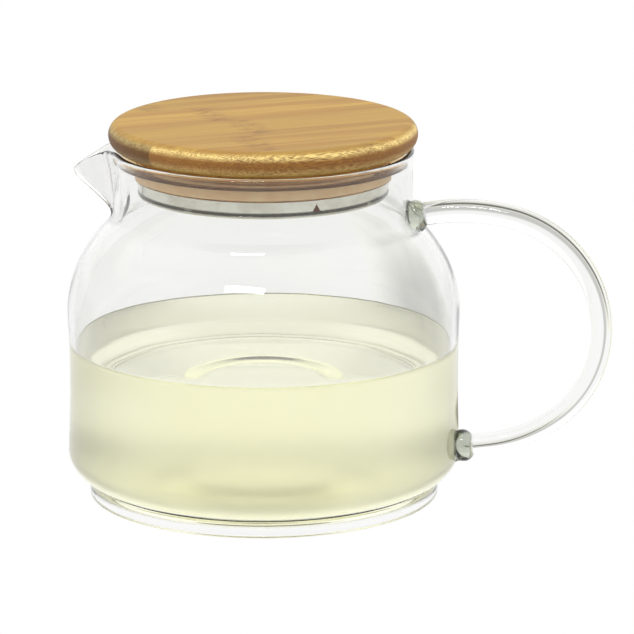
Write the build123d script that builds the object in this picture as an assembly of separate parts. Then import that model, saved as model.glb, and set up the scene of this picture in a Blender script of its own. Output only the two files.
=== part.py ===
"""Glass teapot with a bamboo lid, in millimetres.

The origin is the centre of the ring that the foot rests on. +Z is up, the handle is on +X and
the pouring lip is on -X. Bodies of revolution are drawn as (radius, height) outlines in the XZ
plane and turned about Z.
"""
from build123d import *
import math
import os

os.makedirs("parts", exist_ok=True)

# --- Blown glass pot -------------------------------------------------------------------------
WALL = 2.0                 # wall of the belly and the shoulder
WIDEST_R = 60.3            # outside radius where the shoulder begins
WAIST_R = 59.8             # outside radius of the slight waist between base and shoulder
WAIST_Z = 33.0
SHOULDER_Z = 57.0          # height where the shoulder begins to curve in
SHOULDER_ARC = 36.8
NECK_R = 45.7              # outside radius of the neck
NECK_BORE = 43.9
NECK_ARC = 6.0             # hollow curve between shoulder and neck
NECK_TOP_Z = 102.4         # the neck swells to its rim bead above this
RIM_Z = 108.2
RIM_BEAD = 1.1             # radius of the fire-polished rim bead
HEEL_R = 60.5              # outside radius of the bulge just above the foot
HEEL_Z = 14.5
HEEL_ARC = 9.0
HEEL_END = -76.0           # degrees, where the bulge meets the foot
INNER_HEEL_ARC = 8.5
FLOOR_Z = 6.0              # inside floor
UNDER_Z = 3.4              # underside of the floor
FOOT_R = 53.9
FOOT_BORE = 50.6
FOOT_EDGE = 0.6            # rounding of the resting edge
PUNT_R = (19.0, 24.6)      # inner and outer radius of the slope round the pushed-up centre
PUNT_RISE = 1.4

# --- Pouring lip, pulled out of the neck on the -X side --------------------------------------
LIP_WALL = 1.8
LIP_ROOT_X = 38.0          # where the wedge starts, inside the bore
# (height, reach from the axis, half width at the root, nose radius) of each level of the wedge
LIP_LEVELS = ((86.0, 43.3, 3.4, 2.6), (97.6, 58.6, 6.8, 3.4), (RIM_Z, 60.2, 8.2, 3.8))
LIP_EDGE = ((46.0, RIM_Z), (52.8, 103.7), (60.6, 98.9))   # (reach, height) along its top edge
LIP_CUT_HALF_WIDTH = 9.0   # half width of the cut that shapes that edge
LIP_CUT_REACH = 70.0       # the cut runs out past the tip
LIP_CUT_TOP_Z = RIM_Z + 5

# --- Tea -------------------------------------------------------------------------------------
TEA_Z = 48.0

# --- Handle ----------------------------------------------------------------------------------
ROD_R = 3.3
ROD_START = (50.0, 89.5)   # centre of the rod where the upper weld ends
ROD_HEADING = 13.0         # degrees above +X
ROD_ARCS = ((60.0, 26.5), (35.3, 127.6), (45.0, 30.2))   # radius and turn of each bend
ROD_TAIL = 5.0             # straight run into the lower weld
WELD_R = 4.7
WELD_DEPTH = 9.0           # from the rod's end to inside the wall, before the pot is cut away
WELD_SHOULDER = 1.2        # cone between the rod and the lump
WELD_ROUND = 1.0

# --- Lid -------------------------------------------------------------------------------------
BOARD_R = 47.2
BOARD_Z = RIM_Z + 0.3      # the board's underside, just clear of the rim
BOARD_TOP_Z = 116.5
BOARD_ROUND_TOP = 3.7
BOARD_ROUND_BOTTOM = 4.1
GRAIN_ANGLE = 32.0         # degrees from +X to the direction of the strips
STRIP_WIDTH = 22.0
FIRST_JOINT = -40.0        # offset of the first glue line from the centre
STRIP_COUNT = 5
PLUG_R = 38.5
PLUG_GROOVE_R = 36.0       # floor of the groove that holds the seal
PLUG_GROOVE_Z = (100.1, 105.4)
CUP_R = 38.1
CUP_WALL = 0.5
CUP_Z = (94.7, 99.7)
CUP_BEAD = 0.55            # radius of the rolled lower edge
CUP_FLOOR_RISE = 0.6       # the cup's floor is set up inside its rolled edge
STAKE_AZIMUTH = -55.0      # degrees of the first of the punched stakes that hold the cup
STAKE_COUNT = 3
STAKE_SIZE = 1.6           # radius of the circle round each triangular stake hole
STAKE_Z = 97.0
STAKE_DEPTH = 1.6          # how far the punch goes into the plug behind the cup's wall

# --- Silicone seal ---------------------------------------------------------------------------
SEAL_GAP = 0.1             # running clearance of the ring in its groove
SEAL_R = 38.6
SEAL_LIP_R = 43.6          # the lip stops 0.3 short of the bore
SEAL_LIP_Z = 103.9         # underside of the lip where it leaves the ring
SEAL_LIP_ROOT = 0.8        # thickness of the lip there
SEAL_LIP_EDGE = 0.4        # thickness at its free edge
SEAL_LIP_RISE = 0.6        # the lip slopes up towards the glass


def at(radius, height):
    """A point of an outline in the XZ plane."""
    return Vector(radius, 0, height)


def polar(centre, radius, degrees):
    """The point of a circle about an outline point, at an angle from the +radius direction."""
    angle = math.radians(degrees)
    return at(centre[0] + radius * math.cos(angle), centre[1] + radius * math.sin(angle))


def arc(centre, radius, start, end):
    """An arc about an outline point, from one angle to another."""
    middle = (start + end) / 2
    return ThreePointArc(*(polar(centre, radius, degrees) for degrees in (start, middle, end)))


def turned(edges):
    """The solid that a closed outline sweeps about Z."""
    return revolve(make_face(edges), Axis.Z)


# The shoulder's arc and the neck's hollow arc share a tangent point, at the same angle for the
# outside and the inside of the wall.
shoulder = (WIDEST_R - SHOULDER_ARC, SHOULDER_Z)
neck_arc_r = NECK_R + NECK_ARC
neck_arc_z = SHOULDER_Z + math.sqrt((SHOULDER_ARC + NECK_ARC) ** 2 - (neck_arc_r - shoulder[0]) ** 2)
neck = (neck_arc_r, neck_arc_z)
shoulder_end = math.degrees(math.atan2(neck[1] - shoulder[1], neck[0] - shoulder[0]))
bead = (NECK_BORE + RIM_BEAD, RIM_Z - RIM_BEAD)
heel = (HEEL_R - HEEL_ARC, HEEL_Z)
inner_heel = (HEEL_R - WALL - INNER_HEEL_ARC, FLOOR_Z + INNER_HEEL_ARC)
neck_wall = NECK_R - NECK_BORE


def upright(radius, height):
    """A cylinder that stands on the XY plane."""
    return Cylinder(radius, height, align=(Align.CENTER, Align.CENTER, Align.MIN))


def outer_wall():
    """Outside of the pot from the foot's groove up to the rim bead."""
    side = ThreePointArc(polar(heel, HEEL_ARC, 0), at(WAIST_R, WAIST_Z), at(WIDEST_R, SHOULDER_Z))
    hollow = arc(neck, NECK_ARC, shoulder_end + 180, 180)
    flare = Spline(at(NECK_R, NECK_TOP_Z), polar(bead, RIM_BEAD, 0), tangents=((0, 0, 1), (0, 0, 1)))
    return [
        arc(heel, HEEL_ARC, HEEL_END, 0),
        side,
        arc(shoulder, SHOULDER_ARC, 0, shoulder_end),
        hollow,
        Line(hollow @ 1, flare @ 0),
        flare,
    ]


def inner_wall():
    """Inside of the pot from the centre of the floor up to the rim bead."""
    rise = FLOOR_Z + PUNT_RISE
    corner = arc(inner_heel, INNER_HEEL_ARC, -90, 0)
    side_top = polar(shoulder, SHOULDER_ARC - WALL, 0)
    curve = arc(shoulder, SHOULDER_ARC - WALL, 0, shoulder_end)
    hollow = arc(neck, NECK_ARC + neck_wall, shoulder_end + 180, 180)
    return [
        Line(at(0, rise), at(PUNT_R[0], rise)),
        Line(at(PUNT_R[0], rise), at(PUNT_R[1], FLOOR_Z)),
        Line(at(PUNT_R[1], FLOOR_Z), corner @ 0),
        corner,
        ThreePointArc(corner @ 1, at(WAIST_R - WALL, WAIST_Z), side_top),
        curve,
        Line(curve @ 1, hollow @ 0),
        hollow,
        Line(hollow @ 1, polar(bead, RIM_BEAD, 180)),
    ]


def foot():
    """Underside of the pot from the centre out to the groove above the foot."""
    rise = UNDER_Z + PUNT_RISE
    groove = polar(heel, HEEL_ARC, HEEL_END)
    return [
        Line(at(0, rise), at(PUNT_R[0], rise)),
        Line(at(PUNT_R[0], rise), at(PUNT_R[1], UNDER_Z)),
        Line(at(PUNT_R[1], UNDER_Z), at(FOOT_BORE - UNDER_Z / 2, UNDER_Z)),
        Line(at(FOOT_BORE - UNDER_Z / 2, UNDER_Z), at(FOOT_BORE, FOOT_EDGE)),
        arc((FOOT_BORE + FOOT_EDGE, FOOT_EDGE), FOOT_EDGE, 180, 270),
        Line(at(FOOT_BORE + FOOT_EDGE, 0), at(FOOT_R - FOOT_EDGE, 0)),
        arc((FOOT_R - FOOT_EDGE, FOOT_EDGE), FOOT_EDGE, -90, 0),
        Line(at(FOOT_R, FOOT_EDGE), at(FOOT_R, groove.Z - FOOT_EDGE)),
        Line(at(FOOT_R, groove.Z - FOOT_EDGE), groove),
    ]


def wedge(wall):
    """The pouring lip's wedge, drawn in by a wall thickness: rounded V sections, lofted."""
    sections = []
    for height, reach, half_width, nose in LIP_LEVELS:
        root = Pos(-LIP_ROOT_X, 0) * Circle(half_width - wall)
        tip = Pos(nose - reach, 0) * Circle(nose - wall)
        sections.append(Pos(0, 0, height) * make_hull((root + tip).edges()))
    return loft(sections, ruled=True)


def lip_cutter():
    """Everything above the lip's top edge, as a slab across the lip."""
    start, middle, end = (at(-reach, height) for reach, height in LIP_EDGE)
    outside = Polyline(end, at(-LIP_CUT_REACH, end.Z), at(-LIP_CUT_REACH, LIP_CUT_TOP_Z),
                       at(start.X, LIP_CUT_TOP_Z), start)
    profile = make_face([ThreePointArc(start, middle, end)] + outside.edges())
    return extrude(profile, LIP_CUT_HALF_WIDTH, both=True)


def glass_body():
    """Foot, wall, neck, rim and pouring lip as one blown shell, and the space inside it."""
    inside_line = inner_wall()
    rim = arc(bead, RIM_BEAD, 0, 180)
    axis_line = Line(at(0, UNDER_Z + PUNT_RISE), at(0, FLOOR_Z + PUNT_RISE))
    shell = turned(foot() + outer_wall() + [rim] + inside_line + [axis_line])
    mouth = inside_line[-1] @ 1
    across = Polyline(mouth, at(0, mouth.Z), inside_line[0] @ 0)
    inside = turned(inside_line + across.edges())
    above = Pos(0, 0, mouth.Z) * upright(NECK_BORE, RIM_Z)
    lip = wedge(0) - inside - above
    body = (shell + lip) - wedge(LIP_WALL) - lip_cutter()
    return body, inside


def heading(degrees):
    """Unit direction in the XZ plane, as an angle above +X."""
    return Vector(math.cos(math.radians(degrees)), 0, math.sin(math.radians(degrees)))


def handle_path():
    """Centre line of the rod: tangent bends, all turning down, then a straight run to the wall."""
    edges = []
    point = at(*ROD_START)
    angle = ROD_HEADING
    for radius, turn in ROD_ARCS:
        centre = point + heading(angle - 90) * radius
        middle = centre + heading(angle + 90 - turn / 2) * radius
        end = centre + heading(angle + 90 - turn) * radius
        edges.append(ThreePointArc(point, middle, end))
        point = end
        angle -= turn
    tail = point + heading(angle) * ROD_TAIL
    edges.append(Line(point, tail))
    return edges, tail, heading(angle)


def weld(end, direction, pot_outside):
    """Lump of glass between the rod's end and the pot, cut to the pot's outside."""
    lump = Pos(0, 0, WELD_SHOULDER) * upright(WELD_R, WELD_DEPTH - WELD_SHOULDER)
    lump = fillet(lump.edges().group_by(Axis.Z)[0], WELD_ROUND)
    collar = Cone(ROD_R, WELD_R - WELD_ROUND, WELD_SHOULDER,
                  align=(Align.CENTER, Align.CENTER, Align.MIN))
    placed = Plane(origin=end, z_dir=direction).location * (lump + collar)
    pieces = (placed - pot_outside).solids()
    return max(pieces, key=lambda piece: piece.volume)


def lid_board():
    """The round board, with a rounded upper and a fuller lower edge."""
    board = Pos(0, 0, BOARD_Z) * upright(BOARD_R, BOARD_TOP_Z - BOARD_Z)
    rims = board.edges().filter_by(GeomType.CIRCLE).sort_by(Axis.Z)
    board = fillet(rims[-1], BOARD_ROUND_TOP)
    rims = board.edges().filter_by(GeomType.CIRCLE).sort_by(Axis.Z)
    return fillet(rims[0], BOARD_ROUND_BOTTOM)


def lid_strips():
    """The board cut along its glue lines."""
    board = lid_board()
    strips = []
    far = 2 * BOARD_R
    for index in range(STRIP_COUNT):
        low = FIRST_JOINT + (index - 1) * STRIP_WIDTH if index else -far
        high = FIRST_JOINT + index * STRIP_WIDTH if index < STRIP_COUNT - 1 else far
        slab = Box(2 * far, high - low, far)
        slab = Rot(0, 0, GRAIN_ANGLE) * Pos(0, (low + high) / 2, BOARD_Z) * slab
        strips.append(board & slab)
    return strips


def stakes():
    """The triangular punch marks that go through the cup's wall and into the plug."""
    marks = []
    for index in range(STAKE_COUNT):
        azimuth = STAKE_AZIMUTH + index * 360 / STAKE_COUNT
        mark = extrude(RegularPolygon(STAKE_SIZE, 3), 2 * CUP_WALL + STAKE_DEPTH)
        marks.append(Rot(0, 0, azimuth) * Pos(CUP_R + CUP_WALL, 0, STAKE_Z) * Rot(0, -90, 0) * mark)
    return marks


def lid_plug():
    """Bamboo plug under the board, with the seal's groove and a lower step inside the cup."""
    low, high = PLUG_GROOVE_Z
    step = CUP_R - CUP_WALL
    bottom = CUP_Z[0] + CUP_FLOOR_RISE + CUP_WALL
    corners = [(0, bottom), (step, bottom), (step, low), (PLUG_GROOVE_R, low),
               (PLUG_GROOVE_R, high), (PLUG_R, high), (PLUG_R, BOARD_Z), (0, BOARD_Z)]
    plug = revolve(make_face(Polyline(*(at(*corner) for corner in corners), close=True)), Axis.Z)
    for mark in stakes():
        plug -= mark
    return plug


def steel_cup():
    """Pressed cup with a rolled lower edge, and the triangular stake holes in its wall."""
    bottom, top = CUP_Z
    floor = bottom + CUP_FLOOR_RISE
    inside = CUP_R - CUP_WALL
    roll = (CUP_R - CUP_BEAD / 2, bottom + CUP_BEAD)
    meets_floor = 180 - math.degrees(math.asin((floor - roll[1]) / CUP_BEAD))
    meets_wall = 360 + math.degrees(math.acos((CUP_R - roll[0]) / CUP_BEAD))
    edge = arc(roll, CUP_BEAD, meets_floor, meets_wall)
    wall = Polyline(edge @ 1, at(CUP_R, top), at(inside, top), at(inside, floor + CUP_WALL),
                    at(0, floor + CUP_WALL), at(0, floor), edge @ 0)
    cup = turned([edge] + wall.edges())
    for mark in stakes():
        cup -= mark
    return cup


def seal_ring():
    """Silicone ring in the plug's groove, with a thin lip that reaches for the bore."""
    low, high = PLUG_GROOVE_Z
    bore = PLUG_GROOVE_R + SEAL_GAP
    edge_z = SEAL_LIP_Z + SEAL_LIP_RISE
    ring = [(bore, low + SEAL_GAP), (SEAL_R, low + SEAL_GAP), (SEAL_R, SEAL_LIP_Z),
            (SEAL_LIP_R, edge_z), (SEAL_LIP_R, edge_z + SEAL_LIP_EDGE),
            (SEAL_R, SEAL_LIP_Z + SEAL_LIP_ROOT), (SEAL_R, high - SEAL_GAP), (bore, high - SEAL_GAP)]
    return revolve(make_face(Polyline(*(at(*corner) for corner in ring), close=True)), Axis.Z)


def save(name, shape):
    """Write one node to its own file."""
    shape.label = name
    export_step(shape, f"parts/{name}.step")


body, inside = glass_body()
tea = inside - Pos(0, 0, TEA_Z) * upright(WIDEST_R, RIM_Z)
pot_outside = body + inside
path, rod_end, rod_direction = handle_path()
rod_plane = Plane(origin=at(*ROD_START), z_dir=heading(ROD_HEADING))
rod = sweep(rod_plane * Circle(ROD_R), path=Wire(path))

save("glass_body", body)
save("tea", tea)
save("handle_rod", rod)
save("upper_handle_weld", weld(at(*ROD_START), heading(ROD_HEADING + 180), pot_outside))
save("lower_handle_weld", weld(rod_end, rod_direction, pot_outside))
for number, strip in enumerate(lid_strips(), start=1):
    save(f"lid_strip_{number}", strip)
save("lid_plug", lid_plug())
save("steel_cup", steel_cup())
save("seal_ring", seal_ring())
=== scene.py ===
"""Glass teapot with a bamboo lid: its looks, its light and its camera. Metres, in the CAD frame."""

import math

import bmesh
import bpy
import numpy as np
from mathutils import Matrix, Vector


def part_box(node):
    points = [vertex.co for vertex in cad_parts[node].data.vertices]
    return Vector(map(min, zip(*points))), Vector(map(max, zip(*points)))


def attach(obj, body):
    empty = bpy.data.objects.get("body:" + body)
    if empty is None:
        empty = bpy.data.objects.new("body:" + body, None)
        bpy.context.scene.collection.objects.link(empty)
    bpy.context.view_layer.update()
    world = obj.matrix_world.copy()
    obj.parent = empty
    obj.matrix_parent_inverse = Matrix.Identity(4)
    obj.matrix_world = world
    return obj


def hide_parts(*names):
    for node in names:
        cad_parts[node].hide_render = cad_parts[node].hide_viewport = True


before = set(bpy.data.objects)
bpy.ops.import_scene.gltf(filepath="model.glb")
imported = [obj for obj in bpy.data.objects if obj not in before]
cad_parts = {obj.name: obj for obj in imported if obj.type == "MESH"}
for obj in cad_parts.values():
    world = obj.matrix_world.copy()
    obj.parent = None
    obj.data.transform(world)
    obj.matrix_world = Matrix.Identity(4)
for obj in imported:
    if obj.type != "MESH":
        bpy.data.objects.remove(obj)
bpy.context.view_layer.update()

MM = 0.001

# --- Sizes in millimetres, which follow the CAD model's --------------------------------------
WALL = 2.0
WIDEST_R = 60.3
WAIST_R = 59.8
WAIST_Z = 33.0
SHOULDER_Z = 57.0
SHOULDER_ARC = 36.8
NECK_R = 45.7
NECK_BORE = 43.9
NECK_ARC = 6.0
NECK_TOP_Z = 102.4
RIM_Z = 108.2
RIM_BEAD = 1.1
HEEL_R = 60.5
HEEL_Z = 14.5
HEEL_ARC = 9.0
HEEL_END = -76.0
INNER_HEEL_ARC = 8.5
FLOOR_Z = 6.0
UNDER_Z = 3.4
FOOT_R = 53.9
FOOT_BORE = 50.6
FOOT_EDGE = 0.6
FOOT_TOP_Z = 4.9
FOOT_NECKING = (0.25, 0.55)    # how far the foot draws in, and over what height, under the heel
FOOT_FILLET = 2.0              # inside the ring, where it meets the underside
FOOT_FILLET_INSET = 2.2
PUNT_R = (19.0, 24.6)
PUNT_RISE = 1.4
CENTRE_R = 1.0                 # the outlines stop here and a fan of faces closes the centre

LIP_ROOT_X = 38.0
LIP_PULLED_WALL = 1.7      # the glass is drawn a little thinner here than the CAD model's lip
LIP_FOOT_Z = 88.0          # the rows of the neck above this height follow the lip's dip
LIP_KEEL = (97.6, 58.6)    # height and reach where the keel turns up into the tip
LIP_KEEL_SLOPES = (1.319, 0.16)
LIP_KEEL_BLEND = 1.2       # rounding of the keel's turn
LIP_LEVELS = (86.0, 97.6, RIM_Z)
LIP_HALF_WIDTHS = (3.4, 6.8, 8.2)
LIP_NOSES = (2.6, 3.4, 3.8)
LIP_DROP = (14.5, 8.8)     # at the tip: reach beyond the rim's circle, and height below the rim
LIP_DROP_EASE = 3.0        # the lip's edge leaves the rim flat over about this reach
LIP_FILLETS = (9.0, 24.0)  # where the lip leaves the neck, at its foot and at the rim
LIP_SIDE_SLOPE = 1.3       # how fast the wedge falls away beside its root
LIP_THINNING = 3.0         # the wall is drawn that thin where it is pulled out this far

ROD_START = (50.0, 89.5)
ROD_HEADING = 13.0
ROD_ARCS = ((60.0, 26.5), (35.3, 127.6), (45.0, 30.2))
ROD_TAIL = 5.0
ROD_BURIED = (5.6, 4.6)    # how far the rod runs on inside the upper and the lower weld
ROD_STEP = 2.5             # spacing of the rows on the rod's straight ends
ROD_RADII = ((0.0, 0.12, 0.35, 0.6, 0.85, 1.0), (3.5, 3.6, 3.45, 3.05, 3.2, 3.1))
WELD_R = 4.7
WELD_DEPTHS = (4.9, 4.6)
WELD_BITE = 0.5            # how far the lump's back goes into the wall
# (fraction of the depth, radius) down the lump, from the rod to the wall
WELD_PROFILE = ((0.0, 3.05), (0.04, 3.5), (0.12, 3.9), (0.24, 4.35), (0.4, WELD_R), (0.58, 4.75),
                (0.75, 4.6), (0.88, 4.55), (1.0, 4.85))

TEA_OVERLAP = 0.2          # the tea reaches this far into the glass, so that no air shows between
TEA_TRIM = 0.05            # the same, where the surface meets the wall's highest row
MENISCUS = 0.3             # rise of the tea where it wets the wall
MENISCUS_REACH = 1.0
TEA_RINGS = (0, 0.15, 0.4, 0.8, 1.3, 2.0, 3.0, 4.5, 7, 11, 17, 25, 35, 45, 54)   # in from the wall
ROW_GAP = (0.5, 1.0)       # what an outline leaves out above the heel and below the tea's surface

GRAIN_ANGLE = 32.0
STRIP_WIDTH = 22.0
FIRST_JOINT = -40.0
STRIP_COUNT = 5
CREASE_Z = 95.9            # painted shade in the crease above the cup's rolled edge
CREASE_WIDTH = 0.9
SEAL_R = 38.6
SEAL_LIP_Z = 103.9         # underside of the seal's lip where it leaves the ring
SEAL_LIP_ROOT = 0.8        # thickness of the lip there
SEAL_LIP_EDGE = 0.4        # thickness at its free edge
SEAL_LIP_RISE = 0.6        # the lip slopes up towards the glass
SEAL_DEPTH = 2.5           # from the ring's outside to its bore
BOARD_ROUND_TOP = 3.7
BOARD_ROUND_BOTTOM = 4.1
BOARD_CENTRE_R = 0.5
# Of each strip: brightness of its face, brightness of its cut ends, place of its knuckle along it
STRIP_LOOKS = ((0.66, 0.95, 20.0), (0.74, 1.0, -13.5), (0.7, 0.5, -6.5), (0.76, 0.5, -10.9),
               (0.68, 0.7, -25.0))


# --- Outlines --------------------------------------------------------------------------------
def arc(centre, radius, start, end, count):
    """Points (radius, height) along an arc, both ends included."""
    angles = np.radians(np.linspace(start, end, count))
    return np.c_[centre[0] + radius * np.cos(angles), centre[1] + radius * np.sin(angles)]


def line(start, end, count):
    """Points along a straight stretch, both ends included."""
    return np.linspace(start, end, count)


def shallow(start, middle, end, count):
    """Points along a parabola through three points, for a shallow curve."""
    t = np.linspace(0, 1, count)[:, None]
    a, b, c = (np.array(p, float) for p in (start, middle, end))
    u = (b[1] - a[1]) / (c[1] - a[1])
    control = (b - (1 - u) ** 2 * a - u ** 2 * c) / (2 * u * (1 - u))
    return (1 - t) ** 2 * a + 2 * t * (1 - t) * control + t ** 2 * c


def join(*stretches):
    """One outline from several stretches, with doubled points dropped."""
    points = np.vstack(stretches)
    keep = np.r_[True, np.hypot(*np.diff(points, axis=0).T) > 1e-6]
    return points[keep]


def softened(points, rounds):
    """Takes the last trace of a corner out of an outline, with its ends held."""
    points = points.copy()
    for _ in range(rounds):
        points[1:-1] = 0.25 * points[:-2] + 0.5 * points[1:-1] + 0.25 * points[2:]
    return points


shoulder = (WIDEST_R - SHOULDER_ARC, SHOULDER_Z)
neck_x = NECK_R + NECK_ARC
neck = (neck_x, SHOULDER_Z + math.sqrt((SHOULDER_ARC + NECK_ARC) ** 2 - (neck_x - shoulder[0]) ** 2))
shoulder_end = math.degrees(math.atan2(neck[1] - shoulder[1], neck[0] - shoulder[0]))
heel = (HEEL_R - HEEL_ARC, HEEL_Z)
inner_heel = (HEEL_R - WALL - INNER_HEEL_ARC, FLOOR_Z + INNER_HEEL_ARC)
BEAD_Z = RIM_Z - RIM_BEAD
BEAD_R = NECK_BORE + 2 * RIM_BEAD


def outer_outline():
    """Outside of the pot from the foot's groove to the rim bead."""
    swell = np.linspace(0, 1, 10)
    flare = np.c_[NECK_R + (BEAD_R - NECK_R) * swell ** 2 * (3 - 2 * swell),
                  NECK_TOP_Z + (BEAD_Z - NECK_TOP_Z) * swell]
    points = join(
        arc(heel, HEEL_ARC, HEEL_END, 0, 22),
        shallow((HEEL_R, HEEL_Z), (WAIST_R, WAIST_Z), (WIDEST_R, SHOULDER_Z), 26),
        arc(shoulder, SHOULDER_ARC, 0, shoulder_end, 34),
        arc(neck, NECK_ARC, shoulder_end + 180, 180, 14),
        line((NECK_R, neck[1]), (NECK_R, NECK_TOP_Z), 14),
        flare)
    return softened(points, 3)


def wall_thickness(height):
    """Wall of the pot, measured square to it, by height."""
    return np.interp(height, (SHOULDER_Z, neck[1], NECK_TOP_Z, BEAD_Z),
                     (WALL, NECK_R - NECK_BORE, NECK_R - NECK_BORE, BEAD_R - NECK_BORE))


def floor_outline():
    """Inside of the pot from the top of the inner heel in to the centre of the floor."""
    rise = FLOOR_Z + PUNT_RISE
    points = join(
        arc(inner_heel, INNER_HEEL_ARC, 0, -90, 16),
        line((inner_heel[0], FLOOR_Z), (PUNT_R[1], FLOOR_Z), 12),
        line((PUNT_R[1], FLOOR_Z), (PUNT_R[0], rise), 9),
        line((PUNT_R[0], rise), (CENTRE_R, rise), 8))
    return softened(points, 2)


def foot_outline():
    """Underside of the pot from the centre out to the groove above the foot."""
    rise = UNDER_Z + PUNT_RISE
    fillet_r = FOOT_BORE - FOOT_FILLET_INSET
    drawn_in = (FOOT_R - FOOT_NECKING[0], FOOT_TOP_Z + FOOT_NECKING[1])
    return join(
        line((CENTRE_R, rise), (PUNT_R[0], rise), 8),
        line((PUNT_R[0], rise), (PUNT_R[1], UNDER_Z), 9),
        line((PUNT_R[1], UNDER_Z), (fillet_r, UNDER_Z), 10),
        arc((fillet_r, UNDER_Z - FOOT_FILLET), FOOT_FILLET, 90, 20, 6),
        arc((FOOT_BORE + FOOT_EDGE, FOOT_EDGE), FOOT_EDGE, 180, 270, 5),
        arc((FOOT_R - FOOT_EDGE, FOOT_EDGE), FOOT_EDGE, -90, 0, 6),
        line((FOOT_R, FOOT_EDGE), (FOOT_R, FOOT_TOP_Z), 6),
        line((FOOT_R, FOOT_TOP_Z), drawn_in, 3))


# --- Meshes ----------------------------------------------------------------------------------
def new_object(name, vertices, faces, smooth=True):
    """A mesh object from vertices in millimetres, with its normals outward."""
    mesh = bpy.data.meshes.new(name)
    mesh.from_pydata([tuple(v) for v in np.asarray(vertices) * MM], [], faces)
    mesh.update()
    builder = bmesh.new()
    builder.from_mesh(mesh)
    bmesh.ops.recalc_face_normals(builder, faces=builder.faces)
    builder.to_mesh(mesh)
    builder.free()
    if smooth:
        mesh.polygons.foreach_set("use_smooth", [True] * len(mesh.polygons))
    obj = bpy.data.objects.new(name, mesh)
    bpy.context.scene.collection.objects.link(obj)
    return obj


def grid_faces(rows, columns, wrap_rows):
    """Quads over rows of points, each row a closed loop."""
    faces = []
    for i in range(rows if wrap_rows else rows - 1):
        j = (i + 1) % rows
        for k in range(columns):
            m = (k + 1) % columns
            faces.append((i * columns + k, i * columns + m, j * columns + m, j * columns + k))
    return faces


def skin(name, rows, wrap_rows=False):
    """A closed mesh over rows of points. Its ends are closed with fans unless its rows wrap."""
    rows = np.asarray(rows)
    count, columns = rows.shape[:2]
    vertices = rows.reshape(-1, 3)
    faces = grid_faces(count, columns, wrap_rows)
    if not wrap_rows:
        poles = [rows[0].mean(0), rows[-1].mean(0)]
        low = len(vertices)
        vertices = np.vstack([vertices, poles])
        last = (count - 1) * columns
        for k in range(columns):
            m = (k + 1) % columns
            faces.append((low, m, k))
            faces.append((low + 1, last + k, last + m))
    return new_object(name, vertices, faces)


def lathe(name, outline, columns=160, wrap_rows=False):
    """A body of revolution from (radius, height) points."""
    angles = np.linspace(0, 2 * math.pi, columns, endpoint=False)
    rows = [np.c_[r * np.cos(angles), r * np.sin(angles), np.full(columns, z)] for r, z in outline]
    return skin(name, rows, wrap_rows)


# --- Glass pot -------------------------------------------------------------------------------
def smooth_max(a, b, blend):
    """The larger of two lengths, with a fillet where they cross."""
    return (a + b + np.sqrt((a - b) ** 2 + blend ** 2)) / 2


def filleted(a, b, size):
    """The larger of two lengths, with a fillet where they nearly agree and nothing beyond it."""
    near = np.maximum(size - np.abs(a - b), 0) / size
    return np.maximum(a, b) + size * near ** 2 / 4


def with_lip(radii, side_angle, height):
    """Radius of the pot's outside at a height, where the pouring lip is pulled out of it."""
    size = np.interp(height, (LIP_FOOT_Z, RIM_Z), LIP_FILLETS)
    return filleted(radii, lip_radius(side_angle, height), size)


def lip_reach(height):
    """How far the lip's keel reaches from the axis, by height."""
    z, reach = LIP_KEEL
    low = reach + LIP_KEEL_SLOPES[0] * (height - z)
    high = reach + LIP_KEEL_SLOPES[1] * (height - z)
    return -smooth_max(-low, -high, LIP_KEEL_BLEND)


def lip_radius(side_angle, height):
    """Distance from the axis to the outside of the lip's rounded wedge, along a direction."""
    half = np.interp(height, LIP_LEVELS, LIP_HALF_WIDTHS)
    nose = np.interp(height, LIP_LEVELS, LIP_NOSES)
    reach = lip_reach(height)
    sine, cosine = np.abs(np.sin(side_angle)), np.cos(side_angle)
    best = LIP_ROOT_X * cosine - LIP_SIDE_SLOPE * np.maximum(0, LIP_ROOT_X * sine - half)
    for t in np.linspace(0, 1, 90):
        centre = LIP_ROOT_X + t * (reach - nose - LIP_ROOT_X)
        radius = half + t * (nose - half)
        inside = radius ** 2 - (centre * sine) ** 2
        far = centre * cosine + np.sqrt(np.maximum(inside, 0))
        best = np.where((inside > 0) & (far > best), far, best)
    return np.where(cosine > 0, best, 0.0)


def lip_edge(reach):
    """Height of the centre of the lip's edge bead, by distance from the axis."""
    beyond, drop = LIP_DROP
    pulled = np.maximum(reach - BEAD_R, 0)
    eased = (beyond + LIP_DROP_EASE) / (pulled + LIP_DROP_EASE)
    return BEAD_Z - drop * (pulled / beyond) ** 2 * eased


def column_angles():
    """Angles of the pot's columns: close together at the pouring lip, even round the rest."""
    close = np.radians(np.linspace(-9, 9, 61))
    near = np.radians(np.linspace(9, 26, 26))[1:]
    rest = np.radians(np.linspace(26, 334, 171))[1:-1]
    return np.concatenate([close, near, rest, -near[::-1]])


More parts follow.
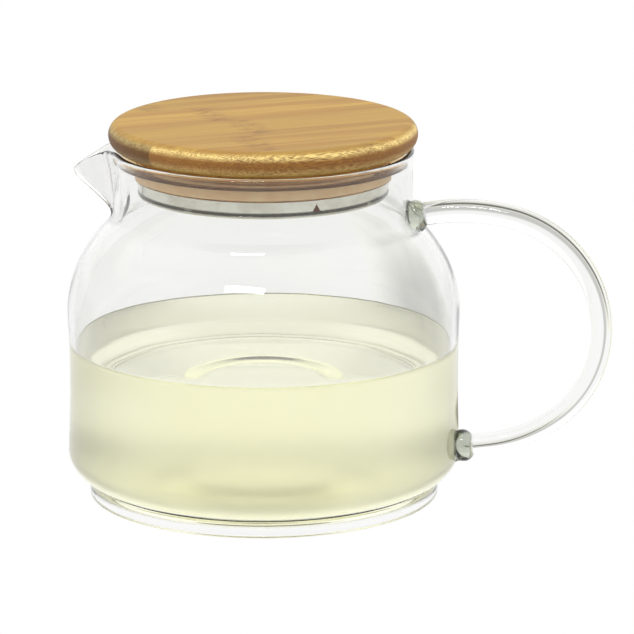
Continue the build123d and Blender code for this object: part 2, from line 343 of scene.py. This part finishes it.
def pot_rows():
    """Rows of points over the whole pot, from the centre underneath round to the floor inside."""
    side = column_angles()
    outline = outer_outline()
    radii = outline[:, 0][:, None]
    heights = outline[:, 1][:, None]
    side_row = side[None, :]
    # The edge's height depends on its reach, and its reach on its height, so this settles both.
    bead = np.full(side.shape, BEAD_Z)
    for _ in range(25):
        bead = 0.5 * bead + 0.5 * lip_edge(with_lip(BEAD_R, side, bead))
    rising = np.maximum(0, heights - LIP_FOOT_Z) / (BEAD_Z - LIP_FOOT_Z)
    heights = heights - rising * (BEAD_Z - bead[None, :])
    reach = with_lip(radii, side_row, heights)
    outer = np.stack([-reach * np.cos(side_row), -reach * np.sin(side_row), heights], axis=2)
    across = np.roll(outer, -1, axis=1) - np.roll(outer, 1, axis=1)
    up = np.gradient(outer, axis=0)
    normal = np.cross(across, up)
    normal /= np.linalg.norm(normal, axis=2, keepdims=True)
    outward = np.sign((normal * outer)[len(outer) // 2, 0, :2].sum())
    normal *= outward
    pushed = np.clip((reach - radii) / LIP_THINNING, 0, 1)
    thickness = wall_thickness(outline[:, 1])[:, None]
    thickness = thickness + (LIP_PULLED_WALL - thickness) * pushed
    inner = outer - normal * thickness[:, :, None]
    top_out, top_in = outer[-1], inner[-1]
    middle, half = (top_out + top_in) / 2, (top_out - top_in) / 2
    rise = up[-1] / np.linalg.norm(up[-1], axis=1, keepdims=True)
    rise = rise * np.linalg.norm(half, axis=1, keepdims=True)
    bead_rows = [middle + half * math.cos(a) + rise * math.sin(a)
                 for a in np.linspace(0, math.pi, 13)[1:-1]]

    def turned(points):
        return [np.c_[-r * np.cos(side), -r * np.sin(side), np.full(side.shape, z)] for r, z in points]

    above_heel = outline[:, 1] > HEEL_Z + ROW_GAP[0]
    rows = turned(foot_outline()) + list(outer) + bead_rows
    rows += list(inner[above_heel][::-1]) + turned(floor_outline())
    return rows


def make_pot():
    pot = skin("glass_pot", pot_rows())
    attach(pot, "pot")
    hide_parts("glass_body")
    return pot


# --- Handle ----------------------------------------------------------------------------------
def heading(degrees):
    """Unit direction in the XZ plane, as an angle above +X."""
    return np.array([math.cos(math.radians(degrees)), 0.0, math.sin(math.radians(degrees))])


def handle_line():
    """Points and headings along the rod's centre, from the neck down to the wall."""
    point = np.array([ROD_START[0], 0.0, ROD_START[1]])
    angle = ROD_HEADING
    points = [point - heading(angle) * ROD_BURIED[0], point - heading(angle) * ROD_STEP]
    angles = [angle, angle]
    for radius, turn in ROD_ARCS:
        centre = point + heading(angle - 90) * radius
        for step in np.linspace(0, turn, max(8, round(turn / 2)), endpoint=False):
            points.append(centre + heading(angle + 90 - step) * radius)
            angles.append(angle - step)
        point = centre + heading(angle + 90 - turn) * radius
        angle -= turn
    for run in (0.0, ROD_STEP, ROD_TAIL, ROD_TAIL + ROD_BURIED[1]):
        points.append(point + heading(angle) * run)
        angles.append(angle)
    return np.array(points), angles


def make_rod():
    """The bent glass rod, a little thicker along its top than down its side."""
    points, angles = handle_line()
    run = np.r_[0, np.cumsum(np.linalg.norm(np.diff(points, axis=0), axis=1))]
    radii = np.interp(run / run[-1], *ROD_RADII)
    radii = np.convolve(np.pad(radii, 8, mode="edge"), np.ones(17) / 17, mode="valid")
    turns = np.linspace(0, 2 * math.pi, 64, endpoint=False)
    rows = []
    for point, angle, radius in zip(points, angles, radii):
        ring = np.outer(np.cos(turns), heading(angle + 90)) + np.outer(np.sin(turns), (0, 1, 0))
        rows.append(point + radius * ring)
    rod = skin("glass_handle", rows)
    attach(rod, "pot")
    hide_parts("handle_rod")
    return rod


def make_weld(name, node, end, direction, depth, seed):
    """Lump of fused glass from the rod's end to the wall, its back pressed to the wall's curve."""
    outline = outer_outline()
    turns = np.linspace(0, 2 * math.pi, 48, endpoint=False)
    up = np.cross(direction, (0, 1, 0))
    wobble = 1 + 0.035 * np.sin(2 * turns + seed) + 0.025 * np.sin(3 * turns + 2 * seed)
    rows = []
    for fraction, radius in WELD_PROFILE:
        centre = end + direction * depth * fraction
        ring = centre + radius * wobble[:, None] * (np.outer(np.cos(turns), up)
                                                    + np.outer(np.sin(turns), (0, 1, 0)))
        wall_r = np.interp(ring[:, 2], outline[:, 1], outline[:, 0]) - WELD_BITE
        wall_x = np.sqrt(wall_r ** 2 - ring[:, 1] ** 2)
        back_x = (end + direction * depth)[0]
        ring[:, 0] += (wall_x - back_x) * fraction ** 2
        rows.append(ring)
    lump = skin(name, rows)
    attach(lump, "pot")
    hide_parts(node)
    return lump


def make_welds():
    points, angles = handle_line()
    start = np.array([ROD_START[0], 0.0, ROD_START[1]])
    upper, lower = WELD_DEPTHS
    first = make_weld("upper_weld", "upper_handle_weld", start, -heading(ROD_HEADING), upper, 0.7)
    tail = points[-1] - heading(angles[-1]) * ROD_BURIED[1]
    second = make_weld("lower_weld", "lower_handle_weld", tail, heading(angles[-1]), lower, 2.1)
    return [first, second]


# --- Tea -------------------------------------------------------------------------------------
def make_tea():
    """The tea, filling the pot to its level, with the small rise where it wets the glass."""
    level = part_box("tea")[1].z / MM
    outline = outer_outline()
    side = outline[(outline[:, 1] > HEEL_Z + ROW_GAP[0]) & (outline[:, 1] < level - ROW_GAP[1])]
    side = side - (WALL - TEA_OVERLAP, 0)
    floor = floor_outline()[::-1]
    outside = np.gradient(floor, axis=0)
    outside = np.c_[outside[:, 1], -outside[:, 0]]
    outside /= np.linalg.norm(outside, axis=1, keepdims=True)
    floor = floor + outside * TEA_OVERLAP
    edge_r = side[-1, 0] + TEA_TRIM
    reach = np.array(TEA_RINGS)
    surface = np.c_[edge_r - reach, level + MENISCUS * np.exp(-reach / MENISCUS_REACH)]
    tea = lathe("tea_liquid", np.vstack([floor, side, surface]), 192)
    tea.data.materials.append(tea_material("tea_clear", roughness=0.0, painted_glow=0.0))
    tea.data.materials.append(tea_material("tea_by_the_wall", roughness=0.36, painted_glow=0.09))
    for face in tea.data.polygons:
        by_the_wall = face.center.xy.length / MM > inner_heel[0] and face.center.z / MM < level - 0.1
        face.material_index = 1 if by_the_wall else 0
    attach(tea, "pot")
    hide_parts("tea")
    return tea


# --- Lid -------------------------------------------------------------------------------------
def board_outline():
    """Half section of the lid's board, from the centre underneath to the centre on top."""
    low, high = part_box("lid_strip_3")[0].z / MM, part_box("lid_strip_3")[1].z / MM
    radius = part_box("lid_strip_2")[1].x / MM
    under = (radius - BOARD_ROUND_BOTTOM, low + BOARD_ROUND_BOTTOM)
    over = (radius - BOARD_ROUND_TOP, high - BOARD_ROUND_TOP)
    return join(
        line((BOARD_CENTRE_R, low), (under[0], low), 8),
        arc(under, BOARD_ROUND_BOTTOM, -90, 0, 12),
        arc(over, BOARD_ROUND_TOP, 0, 90, 12),
        line((over[0], high), (BOARD_CENTRE_R, high), 12))


def make_strips(materials):
    """The board's bamboo strips, each cut from the round board along its glue lines."""
    strips = []
    normal = Vector((-math.sin(math.radians(GRAIN_ANGLE)), math.cos(math.radians(GRAIN_ANGLE)), 0))
    for index in range(STRIP_COUNT):
        strip = lathe(f"bamboo_strip_{index + 1}", board_outline(), 256)
        builder = bmesh.new()
        builder.from_mesh(strip.data)
        sides = []
        if index:
            sides.append(((FIRST_JOINT + (index - 1) * STRIP_WIDTH) * MM, normal))
        if index < STRIP_COUNT - 1:
            sides.append(((FIRST_JOINT + index * STRIP_WIDTH) * MM, -normal))
        for offset, keep in sides:
            everything = builder.verts[:] + builder.edges[:] + builder.faces[:]
            bmesh.ops.bisect_plane(builder, geom=everything, plane_co=normal * offset,
                                   plane_no=-keep, clear_outer=True)
            bmesh.ops.holes_fill(builder, edges=[e for e in builder.edges if e.is_boundary])
        bmesh.ops.recalc_face_normals(builder, faces=builder.faces)
        builder.to_mesh(strip.data)
        builder.free()
        strip.data.set_sharp_from_angle(angle=math.radians(35))
        strip.data.materials.append(materials[index])
        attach(strip, "lid")
        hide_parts(f"lid_strip_{index + 1}")
        strips.append(strip)
    return strips


# --- Seal ------------------------------------------------------------------------------------
def make_seal(ring_material, lip_material):
    """The silicone ring with its thin lip, its corners moulded round."""
    low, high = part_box("seal_ring")[0].z / MM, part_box("seal_ring")[1].z / MM
    lip_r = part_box("seal_ring")[1].x / MM
    bore = SEAL_R - SEAL_DEPTH
    edge_z = SEAL_LIP_Z + SEAL_LIP_RISE
    edge = (lip_r - SEAL_LIP_EDGE / 2, edge_z + SEAL_LIP_EDGE / 2)
    corner = SEAL_LIP_EDGE
    outline = join(
        line((bore, high), (SEAL_R - corner, high), 5),
        arc((SEAL_R - corner, high - corner), corner, 90, 0, 4),
        line((SEAL_R, high - corner), (SEAL_R, SEAL_LIP_Z + SEAL_LIP_ROOT), 3),
        line((SEAL_R, SEAL_LIP_Z + SEAL_LIP_ROOT), (edge[0], edge[1] + SEAL_LIP_EDGE / 2), 8),
        arc(edge, SEAL_LIP_EDGE / 2, 90, -90, 6),
        line((edge[0], edge_z), (SEAL_R, SEAL_LIP_Z), 8),
        line((SEAL_R, SEAL_LIP_Z), (SEAL_R, low + corner), 5),
        arc((SEAL_R - corner, low + corner), corner, 0, -90, 4),
        line((SEAL_R - corner, low), (bore, low), 5),
        line((bore, low), (bore, high), 5))
    seal = lathe("seal", outline[:-1], 192, wrap_rows=True)
    seal.data.materials.append(ring_material)
    seal.data.materials.append(lip_material)
    for face in seal.data.polygons:
        middle = sum((seal.data.vertices[i].co.xy.length for i in face.vertices)) / len(face.vertices)
        face.material_index = 1 if middle > (SEAL_R + 0.2) * MM else 0
    seal.data.set_sharp_from_angle(angle=math.radians(50))
    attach(seal, "seal")
    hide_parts("seal_ring")
    return seal


# --- Materials -------------------------------------------------------------------------------
def tint(red, green, blue, shade=1.0):
    """A scene colour from display values of 0 to 255, made lighter or darker by a factor."""
    return (*((((c / 255 + 0.055) / 1.055) ** 2.4) * shade for c in (red, green, blue)), 1)


class Recipe:
    """One node material, with short calls for the nodes that the recipes below share."""

    def __init__(self, name):
        self.material = bpy.data.materials.new(name)
        self.material.use_nodes = True
        self.nodes = self.material.node_tree.nodes
        self.links = self.material.node_tree.links
        self.shader = self.nodes["Principled BSDF"]

    def put(self, socket, value):
        """Links a socket to another, or sets it to a plain value."""
        if isinstance(value, bpy.types.NodeSocket):
            self.links.new(value, socket)
        else:
            socket.default_value = value

    def node(self, kind, inputs=(), **settings):
        made = self.nodes.new(kind)
        for name, value in settings.items():
            setattr(made, name, value)
        for name, value in dict(inputs).items():
            self.put(made.inputs[name], value)
        return made

    def math(self, operation, first, second=0.0, clamp=False):
        made = self.node("ShaderNodeMath", {0: first, 1: second}, operation=operation, use_clamp=clamp)
        return made.outputs[0]

    def ramp(self, value, start, end, low=0.0, high=1.0):
        """A smooth step from low to high while the value goes from start to end."""
        made = self.node("ShaderNodeMapRange", {"Value": value, "From Min": start, "From Max": end,
                                                "To Min": low, "To Max": high})
        made.interpolation_type = "SMOOTHSTEP"
        return made.outputs["Result"]

    def mix(self, factor, first, second, blend="MIX"):
        made = self.node("ShaderNodeMix", data_type="RGBA", blend_type=blend)
        self.put(made.inputs["Factor"], factor)
        self.put(made.inputs[6], first)
        self.put(made.inputs[7], second)
        return made.outputs[2]

    def point(self, turn=0.0):
        """The place on the object in millimetres, turned about Z, as separate coordinates."""
        place = self.node("ShaderNodeTexCoord").outputs["Object"]
        turned = self.node("ShaderNodeMapping", {
            "Vector": place, "Rotation": (0, 0, math.radians(-turn)), "Scale": (1 / MM, 1 / MM, 1 / MM)})
        return self.node("ShaderNodeSeparateXYZ", {0: turned.outputs[0]}).outputs

    def stretched(self, u, v, w, along, across):
        """A texture place that changes fast across the grain and slowly along it."""
        return self.node("ShaderNodeCombineXYZ", {
            0: self.math("MULTIPLY", u, along),
            1: self.math("MULTIPLY", v, across),
            2: self.math("MULTIPLY", w, across)}).outputs[0]

    def noise(self, place, detail=3.0, roughness=0.55):
        made = self.node("ShaderNodeTexNoise", {"Vector": place, "Scale": 1.0, "Detail": detail,
                                                "Roughness": roughness})
        return made.outputs[0]

    def cells(self, place):
        """Distance from the nearest of a scatter of points."""
        return self.node("ShaderNodeTexVoronoi", {"Vector": place, "Scale": 1.0}).outputs["Distance"]

    def bump(self, height, strength, distance):
        made = self.node("ShaderNodeBump", {"Height": height, "Strength": strength,
                                            "Distance": distance * MM})
        self.links.new(made.outputs[0], self.shader.inputs["Normal"])

    def set(self, **values):
        """Sets the shader's sockets, named with underscores for spaces."""
        for name, value in values.items():
            self.put(self.shader.inputs[name.replace("_", " ")], value)


def glass_material(name):
    recipe = Recipe(name)
    recipe.set(Base_Color=(0.936, 0.938, 0.93, 1), Roughness=0.0, IOR=1.47, Transmission_Weight=1.0)
    u, v, w = recipe.point()
    waves = recipe.noise(recipe.stretched(u, v, w, 0.05, 0.05), detail=1.0)
    recipe.bump(waves, 0.12, 1.0)
    return recipe


def absorb(recipe, colour, density):
    """Takes light out of a clear material with the distance that it goes through."""
    volume = recipe.node("ShaderNodeVolumeAbsorption")
    volume.inputs["Color"].default_value = (*colour, 1)
    volume.inputs["Density"].default_value = density
    recipe.links.new(volume.outputs[0], recipe.nodes["Material Output"].inputs["Volume"])


def tea_material(name, roughness, painted_glow):
    """Pale green tea. Where it meets the wall it is given the cloudiness of brewed tea and a painted
    glow, light painted in where the tea would catch scattered light.
    """
    recipe = Recipe(name)
    u, v, w = recipe.point()
    cloud = recipe.noise(recipe.stretched(u, v, w, 0.03, 0.03), detail=2.0)
    recipe.put(recipe.shader.inputs["Base Color"],
               recipe.mix(recipe.ramp(cloud, 0.3, 0.7), tint(252, 252, 243), tint(255, 255, 250)))
    recipe.set(Roughness=roughness, IOR=1.33, Transmission_Weight=1.0)
    # Painted light: a faint glow in the tea, standing in for light scattered into it.
    recipe.set(Emission_Color=(0.93, 0.92, 0.72, 1), Emission_Strength=painted_glow)
    absorb(recipe, colour=(0.93, 0.90, 0.05), density=3.1)
    return recipe.material


def bamboo_material(name, seed, shade, end_shade, knuckle):
    """Bamboo strip: bundles of fibre run its length, so they are lines on top and dots on its ends."""
    recipe = Recipe(name)
    u, v, w = recipe.point(GRAIN_ANGLE)
    sway = recipe.noise(recipe.stretched(u, u, u, 0.03, 0.0), detail=1.0)
    v = recipe.math("ADD", v, recipe.math("MULTIPLY", sway, 2.0))
    v = recipe.math("ADD", v, 17.0 * seed)
    fibres = recipe.noise(recipe.stretched(u, v, w, 0.02, 1.7), detail=5.0, roughness=0.7)
    bands = recipe.noise(recipe.stretched(u, v, w, 0.006, 0.13), detail=2.0)
    streaks = recipe.noise(recipe.stretched(u, v, w, 0.014, 0.45), detail=3.0)
    bundles = recipe.cells(recipe.stretched(u, v, w, 0.35, 3.2))
    dots = recipe.ramp(bundles, 0.65, 0.2)

    # A knuckle of the cane: a mottled patch across the strip.
    ragged = recipe.noise(recipe.stretched(u, v, w, 0.2, 0.6), detail=3.0, roughness=0.7)
    from_knuckle = recipe.math("ADD", u, recipe.math("MULTIPLY", ragged, 8.0))
    from_knuckle = recipe.math("ABSOLUTE", recipe.math("SUBTRACT", from_knuckle, knuckle + 4.0))
    patch = recipe.math("MULTIPLY", recipe.ramp(from_knuckle, 6.5, 0.5), recipe.ramp(ragged, 0.4, 0.66))

    normal = recipe.node("ShaderNodeSeparateXYZ",
                         {0: recipe.node("ShaderNodeTexCoord").outputs["Normal"]}).outputs[2]
    rim = recipe.ramp(recipe.math("ABSOLUTE", normal), 0.93, 0.55)

    face = recipe.mix(recipe.ramp(fibres, 0.34, 0.66),
                      tint(184, 138, 54, shade), tint(208, 168, 76, shade))
    face = recipe.mix(recipe.ramp(bands, 0.42, 0.62, high=0.7), face, tint(172, 124, 50, shade))
    face = recipe.mix(recipe.ramp(streaks, 0.56, 0.78, high=0.6), face, tint(160, 112, 38, shade))
    face = recipe.mix(recipe.math("MULTIPLY", patch, 0.75), face, tint(142, 96, 36, shade))
    # The rim's roundings are lighter than its cut middle: partly the wood's own tone, partly a painted
    # highlight, strongest on the top rounding.
    rounding_and_highlight = recipe.math("ADD", recipe.ramp(normal, 0.1, 0.7),
                           recipe.ramp(normal, -0.1, -0.7, high=0.4))
    end = recipe.mix(rounding_and_highlight, tint(144, 98, 40, end_shade), tint(255, 226, 144, end_shade))
    end = recipe.mix(recipe.math("MULTIPLY", dots, 0.85), end, tint(112, 68, 24, end_shade))
    end = recipe.mix(recipe.ramp(streaks, 0.4, 0.7, high=0.4), end, tint(122, 78, 30, end_shade))
    recipe.put(recipe.shader.inputs["Base Color"], recipe.mix(rim, face, end))
    recipe.put(recipe.shader.inputs["Roughness"], recipe.ramp(fibres, 0.3, 0.7, 0.5, 0.62))
    recipe.set(Specular_IOR_Level=0.3)
    recipe.bump(recipe.math("ADD", fibres, recipe.math("MULTIPLY", dots, -0.6)), 0.35, 0.1)
    return recipe.material


def plug_material():
    """The plug's dark turned side, with the ends of the fibres as short flecks."""
    recipe = Recipe("bamboo_plug")
    u, v, w = recipe.point(GRAIN_ANGLE)
    flecks = recipe.ramp(recipe.cells(recipe.stretched(u, v, w, 0.05, 1.6)), 0.5, 0.15)
    tone = recipe.noise(recipe.stretched(u, v, w, 0.1, 0.16))
    ground = recipe.mix(recipe.ramp(tone, 0.35, 0.65), tint(186, 126, 48), tint(216, 160, 74))
    recipe.put(recipe.shader.inputs["Base Color"],
               recipe.mix(recipe.math("MULTIPLY", flecks, 0.5), ground, tint(120, 76, 26)))
    recipe.set(Roughness=0.55)
    recipe.bump(flecks, 0.3, 0.1)
    return recipe.material


def steel_material():
    """Pressed stainless steel with a fine turned finish that runs round the wall."""
    recipe = Recipe("brushed_steel")
    u, v, w = recipe.point()
    lines = recipe.noise(recipe.node("ShaderNodeCombineXYZ", {
        0: recipe.math("MULTIPLY", u, 0.05), 1: recipe.math("MULTIPLY", v, 0.05),
        2: recipe.math("MULTIPLY", w, 9.0)}).outputs[0], detail=4.0)
    stains = recipe.noise(recipe.stretched(u, v, w, 0.12, 0.12))
    # Painted shade: a dark line in the crease above the rolled edge, broken up by the stains' noise.
    from_crease = recipe.math("ABSOLUTE", recipe.math("SUBTRACT", w, CREASE_Z))
    crease_shade = recipe.ramp(from_crease, CREASE_WIDTH, 0.2)
    crease_shade = recipe.math("MULTIPLY", crease_shade, recipe.ramp(stains, 0.1, 0.4))
    wall = recipe.mix(recipe.ramp(stains, 0.3, 0.7), tint(196, 194, 178), tint(216, 215, 203))
    recipe.put(recipe.shader.inputs["Base Color"], recipe.mix(crease_shade, wall, tint(62, 60, 48)))
    recipe.put(recipe.shader.inputs["Roughness"], recipe.ramp(lines, 0.3, 0.7, 0.1, 0.2))
    recipe.set(Metallic=1.0)
    recipe.bump(lines, 0.15, 0.05)
    return recipe.material


def silicone_material(name, roughness, clearness):
    """Silicone, tan from the wood behind it. The ring is milky and its thin lip is clear."""
    recipe = Recipe(name)
    u, v, w = recipe.point()
    cloud = recipe.noise(recipe.stretched(u, v, w, 0.2, 0.2))
    recipe.put(recipe.shader.inputs["Base Color"],
               recipe.mix(recipe.ramp(cloud, 0.3, 0.7), tint(250, 212, 160), tint(255, 226, 176)))
    recipe.set(Roughness=roughness, IOR=1.15, Transmission_Weight=clearness)
    return recipe.material


# --- Stage, light and camera -----------------------------------------------------------------
CAMERA_AZIMUTH = 10.0
CAMERA_ELEVATION = 14.3
CAMERA_DISTANCE = 1.45
CAMERA_LENS = 267.6
AIM_HEIGHT = 0.0549
AIM_RIGHT = 0.0164

BACK_WALL, FRONT_WALL = 1.15, 0.4
FRONT_EDGE = (0.35, 0.95)      # cosines of the angles from the front where one wall becomes the other
CEILING = 0.3                  # what the ceiling adds
CEILING_EDGE = (0.35, 0.7)
FLOOR_SIZE = 12000.0
FLOOR_DROP = -0.2              # just under the foot


def make_camera():
    azimuth, elevation = math.radians(CAMERA_AZIMUTH), math.radians(CAMERA_ELEVATION)
    back = Vector((math.sin(azimuth) * math.cos(elevation), -math.cos(azimuth) * math.cos(elevation),
                   math.sin(elevation)))
    right = Vector((math.cos(azimuth), math.sin(azimuth), 0))
    data = bpy.data.cameras.new("camera")
    data.lens = CAMERA_LENS
    data.sensor_width = 36
    camera = bpy.data.objects.new("camera", data)
    camera.location = Vector((0, 0, AIM_HEIGHT)) + right * AIM_RIGHT + back * CAMERA_DISTANCE
    camera.rotation_mode = "QUATERNION"
    camera.rotation_quaternion = (-back).to_track_quat("-Z", "Y")
    bpy.context.scene.collection.objects.link(camera)
    bpy.context.scene.camera = camera


def make_world():
    """Studio round the pot: a bright wall behind it, a darker one in front, and a lit ceiling."""
    world = bpy.data.worlds.new("studio")
    world.use_nodes = True
    bpy.context.scene.world = world
    nodes, links = world.node_tree.nodes, world.node_tree.links
    direction = nodes.new("ShaderNodeTexCoord").outputs["Generated"]

    def step(towards, start, end, low, high):
        """A smooth step of light along a fixed direction."""
        dot = nodes.new("ShaderNodeVectorMath")
        dot.operation = "DOT_PRODUCT"
        dot.inputs[1].default_value = towards
        links.new(direction, dot.inputs[0])
        ramp = nodes.new("ShaderNodeMapRange")
        ramp.interpolation_type = "SMOOTHSTEP"
        links.new(dot.outputs["Value"], ramp.inputs["Value"])
        for name, value in (("From Min", start), ("From Max", end), ("To Min", low), ("To Max", high)):
            ramp.inputs[name].default_value = value
        return ramp.outputs["Result"]

    azimuth = math.radians(CAMERA_AZIMUTH)
    front = (math.sin(azimuth), -math.cos(azimuth), 0)
    total = nodes.new("ShaderNodeMath")
    total.operation = "ADD"
    links.new(step(front, *FRONT_EDGE, BACK_WALL, FRONT_WALL), total.inputs[0])
    links.new(step((0, 0, 1), *CEILING_EDGE, 0.0, CEILING), total.inputs[1])
    links.new(total.outputs[0], nodes["Background"].inputs["Strength"])
    nodes["Background"].inputs["Color"].default_value = (1, 1, 1, 1)


def make_card(name, turn, corner, size, height, shade, colour):
    """A card of painted shade on the table behind the handle, soft at its edges, seen only in the glass.
    """
    (x, y), (width, depth) = corner, size
    cosine, sine = math.cos(math.radians(turn)), math.sin(math.radians(turn))
    corners = [(x, y), (x + width, y), (x + width, y + depth), (x, y + depth)]
    corners = [(a * cosine - b * sine, a * sine + b * cosine, height) for a, b in corners]
    card = new_object(name, corners, [(0, 1, 2, 3)], smooth=False)
    recipe = Recipe(name)
    across, back = recipe.point(turn)[:2]
    inside = recipe.math("MULTIPLY", recipe.ramp(across, x, x + width / 3),
                         recipe.ramp(back, y + depth, y + depth / 2))
    inside = recipe.math("MULTIPLY", inside, recipe.ramp(across, x + width, x + width * 2 / 3))
    inside = recipe.math("MULTIPLY", inside, recipe.ramp(back, y, y + depth / 8))
    recipe.set(Base_Color=(0, 0, 0, 1), Roughness=1.0, Specular_IOR_Level=0.0,
               Emission_Color=(*colour, 1))
    recipe.put(recipe.shader.inputs["Emission Strength"],
               recipe.math("SUBTRACT", 1.0, recipe.math("MULTIPLY", inside, shade)))
    card.data.materials.append(recipe.material)
    card.visible_camera = False
    card.visible_diffuse = False


def make_lamp(name, azimuth, elevation, distance, size, power):
    """A soft box that faces the pot, seen in the glass but not by the camera."""
    light = bpy.data.lights.new(name, "AREA")
    light.shape = "RECTANGLE"
    light.size, light.size_y = size
    light.energy = power
    lamp = bpy.data.objects.new(name, light)
    azimuth, elevation = math.radians(azimuth), math.radians(elevation)
    away = Vector((math.cos(azimuth) * math.cos(elevation), math.sin(azimuth) * math.cos(elevation),
                   math.sin(elevation)))
    lamp.location = Vector((0, 0, AIM_HEIGHT)) + away * distance
    lamp.rotation_mode = "QUATERNION"
    lamp.rotation_quaternion = away.to_track_quat("Z", "Y")
    lamp.visible_camera = False
    bpy.context.scene.collection.objects.link(lamp)


def make_stage():
    """A white light table, which shows no shadow, under the studio's walls and ceiling."""
    edge = FLOOR_SIZE / 2
    corners = [(-edge, -edge), (edge, -edge), (edge, edge), (-edge, edge)]
    floor = new_object("floor", [(x, y, FLOOR_DROP) for x, y in corners], [(0, 1, 2, 3)], smooth=False)
    recipe = Recipe("light_table")
    recipe.set(Base_Color=(0, 0, 0, 1), Roughness=1.0, Specular_IOR_Level=0.0,
               Emission_Color=(1, 1, 1, 1), Emission_Strength=1.0)
    floor.data.materials.append(recipe.material)
    make_world()
    # Painted shade on the light table behind the handle, where the table near the pot lies in shade;
    # seen only in the glass.
    make_card("handle_shade_card", turn=CAMERA_AZIMUTH, corner=(40.0, 30.0), size=(58.0, 430.0),
              height=FLOOR_DROP / 2, shade=0.4, colour=(1, 1, 0.97))
    # A darker strip of painted shadow on the table behind the pot, seen in the glass along the handle's
    # outer edge.
    make_card("dark_shade_card", turn=CAMERA_AZIMUTH + 38.0, corner=(92.0, 0.0), size=(46.0, 135.0),
              height=FLOOR_DROP / 4, shade=0.88, colour=(1, 0.98, 0.85))
    make_lamp("key_light", azimuth=-94.0, elevation=50.0, distance=1.2, size=(0.42, 0.12), power=4.0)
    bpy.context.scene.view_settings.view_transform = "Standard"


# --- The whole teapot ------------------------------------------------------------------------
glass = glass_material("borosilicate_glass").material
for piece in (make_pot(), make_rod()):
    piece.data.materials.append(glass)
fused = glass_material("fused_glass")
absorb(fused, colour=(0.5, 0.54, 0.41), density=120.0)
for piece in make_welds():
    piece.data.materials.append(fused.material)
make_tea()
make_strips([bamboo_material(f"bamboo_{index + 1}", index, *look)
             for index, look in enumerate(STRIP_LOOKS)])
make_seal(silicone_material("milky_silicone", roughness=0.5, clearness=0.0),
          silicone_material("clear_silicone", roughness=0.12, clearness=1.0))
for node, material in (("lid_plug", plug_material()), ("steel_cup", steel_material())):
    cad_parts[node].data.materials.clear()
    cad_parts[node].data.materials.append(material)
make_stage()
make_camera()
